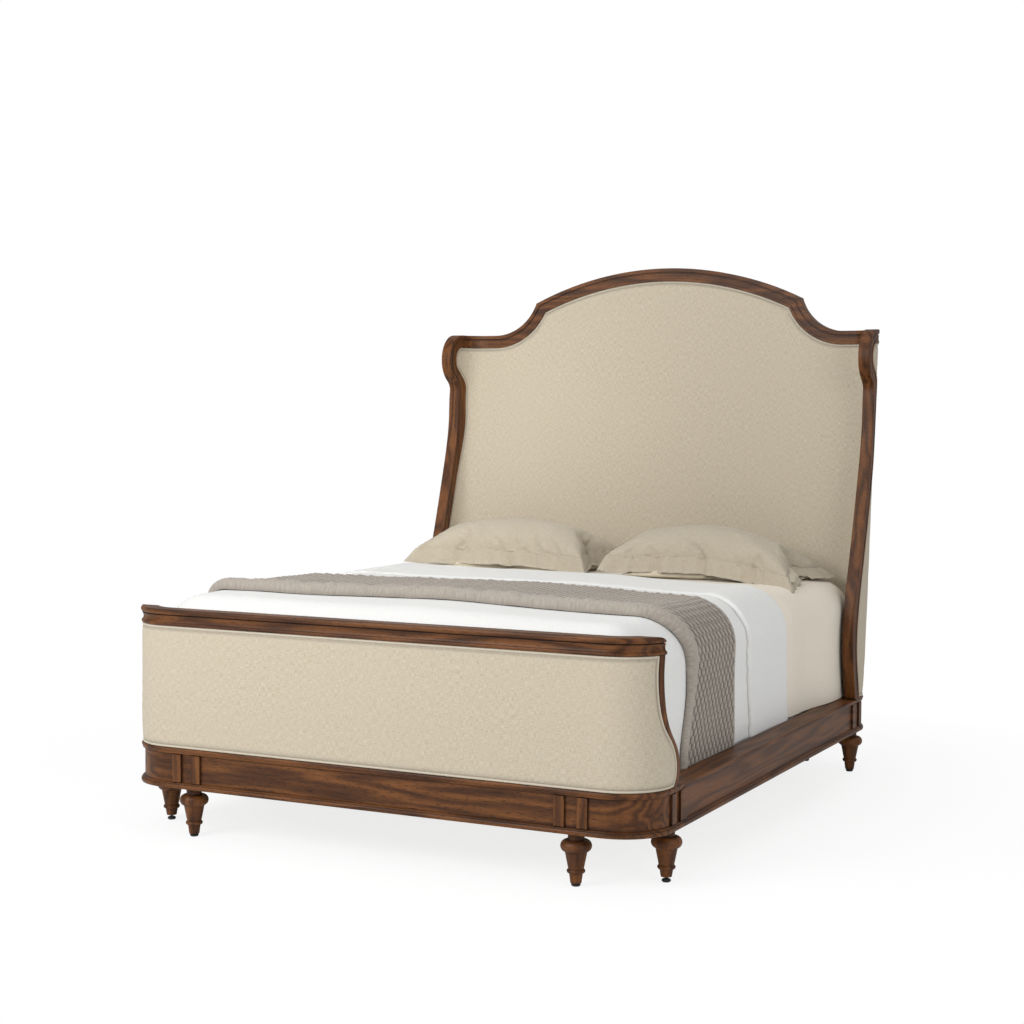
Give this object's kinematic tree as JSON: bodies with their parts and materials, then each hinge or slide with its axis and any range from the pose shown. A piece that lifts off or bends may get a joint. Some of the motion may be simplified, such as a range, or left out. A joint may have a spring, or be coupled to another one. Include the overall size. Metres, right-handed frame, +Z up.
{
  "type": "upholstered wing bed",
  "caption": "Upholstered wing bed with a raked camelback headboard, wrap-round footboard, show-wood mouldings, panelled plinth, turned legs on levelling glides, and made-up bedding.",
  "frame": {"origin": "on the floor under the middle of the bed's box", "axes": "+Z up, +Y from foot to head, +X to the right seen from the foot"},
  "size_m": [1.763, 2.29, 1.8499],
  "materials": {
    "walnut": "dark satin lacquer",
    "pale_wood": "planed, unfinished",
    "laminate": "bent laminated plywood",
    "linen": "plain-weave linen over padding",
    "duvet_cotton": "matt white cotton",
    "quilted_throw": "quilted cotton",
    "sheet_cotton": "smooth cream cotton",
    "pillow_linen": "soft linen with flange",
    "ticking": "woven ticking",
    "steel": "zinc plated",
    "black_plastic": "moulded, matt"
  },
  "bodies": {
    "frame": {"crest_rail": "walnut", "foot_pilasters": "walnut", "foot_plinth": "walnut", "foot_plinth_bead": "walnut", "foot_plinth_cap": "walnut", "footboard_cap_rail": "walnut", "footboard_core": "laminate", "footboard_inner_upholstery": "linen", "footboard_outer_upholstery": "linen", "glide_inserts": "steel", "head_pilasters": "walnut", "head_plinth": "walnut", "head_plinth_bead": "walnut", "head_plinth_cap": "walnut", "headboard_back_upholstery": "linen", "headboard_core": "laminate", "headboard_front_upholstery": "linen", "left_footboard_stile": "walnut", "left_rail_cap": "walnut", "left_side_rail": "walnut", "left_slat_ledger": "pale_wood", "left_wing_stile": "walnut", "leg_blocks": "pale_wood", "leg_foot_left": "walnut", "leg_foot_right": "walnut", "leg_foot_side_left": "walnut", "leg_foot_side_right": "walnut", "leg_head_left": "walnut", "leg_head_right": "walnut", "leg_head_side_left": "walnut", "leg_head_side_right": "walnut", "rail_bolts": "steel", "rail_hook_plates": "steel", "right_footboard_stile": "walnut", "right_rail_cap": "walnut", "right_side_rail": "walnut", "right_slat_ledger": "pale_wood", "right_wing_stile": "walnut", "slat_feet": "black_plastic", "slat_posts": "pale_wood", "slats": "pale_wood"},
    "glide_foot_left": {"glide_foot_left": "black_plastic"},
    "glide_foot_right": {"glide_foot_right": "black_plastic"},
    "glide_foot_side_left": {"glide_foot_side_left": "black_plastic"},
    "glide_foot_side_right": {"glide_foot_side_right": "black_plastic"},
    "glide_head_side_left": {"glide_head_side_left": "black_plastic"},
    "glide_head_side_right": {"glide_head_side_right": "black_plastic"},
    "glide_head_left": {"glide_head_left": "black_plastic"},
    "glide_head_right": {"glide_head_right": "black_plastic"},
    "foundation": {"foundation": "ticking"},
    "mattress": {"mattress": "ticking", "sheet": "sheet_cotton", "duvet": "duvet_cotton", "throw": "quilted_throw"},
    "under_pillow_left": {"under_pillow_left": "sheet_cotton"},
    "pillow_left": {"pillow_left": "pillow_linen"},
    "under_pillow_right": {"under_pillow_right": "sheet_cotton"},
    "pillow_right": {"pillow_right": "pillow_linen"}
  },
  "joints": [
    {"name": "foot_left_glide_screw", "type": "slide", "parent": "frame", "child": "glide_foot_left", "axis": [0, 0, -1], "range_m": [0, 0.02]},
    {"name": "foot_right_glide_screw", "type": "slide", "parent": "frame", "child": "glide_foot_right", "axis": [0, 0, -1], "range_m": [0, 0.02]},
    {"name": "foot_side_left_glide_screw", "type": "slide", "parent": "frame", "child": "glide_foot_side_left", "axis": [0, 0, -1], "range_m": [-0.006, 0.014]},
    {"name": "foot_side_right_glide_screw", "type": "slide", "parent": "frame", "child": "glide_foot_side_right", "axis": [0, 0, -1], "range_m": [-0.006, 0.014]},
    {"name": "head_side_left_glide_screw", "type": "slide", "parent": "frame", "child": "glide_head_side_left", "axis": [0, 0, -1], "range_m": [0, 0.02]},
    {"name": "head_side_right_glide_screw", "type": "slide", "parent": "frame", "child": "glide_head_side_right", "axis": [0, 0, -1], "range_m": [0, 0.02]},
    {"name": "head_left_glide_screw", "type": "slide", "parent": "frame", "child": "glide_head_left", "axis": [0, 0, -1], "range_m": [0, 0.02]},
    {"name": "head_right_glide_screw", "type": "slide", "parent": "frame", "child": "glide_head_right", "axis": [0, 0, -1], "range_m": [0, 0.02]},
    {"name": "foundation_lift", "type": "slide", "parent": "frame", "child": "foundation", "axis": [0, 0, 1], "range_m": [0, 0.3]},
    {"name": "mattress_lift", "type": "slide", "parent": "foundation", "child": "mattress", "axis": [0, 0, 1], "range_m": [0, 0.3]},
    {"name": "under_pillow_left_lift", "type": "slide", "parent": "mattress", "child": "under_pillow_left", "axis": [0, 0, 1], "range_m": [0, 0.3]},
    {"name": "pillow_left_lift", "type": "slide", "parent": "under_pillow_left", "child": "pillow_left", "axis": [0, 0, 1], "range_m": [0, 0.3]},
    {"name": "under_pillow_right_lift", "type": "slide", "parent": "mattress", "child": "under_pillow_right", "axis": [0, 0, 1], "range_m": [0, 0.3]},
    {"name": "pillow_right_lift", "type": "slide", "parent": "under_pillow_right", "child": "pillow_right", "axis": [0, 0, 1], "range_m": [0, 0.3]}
  ]
}
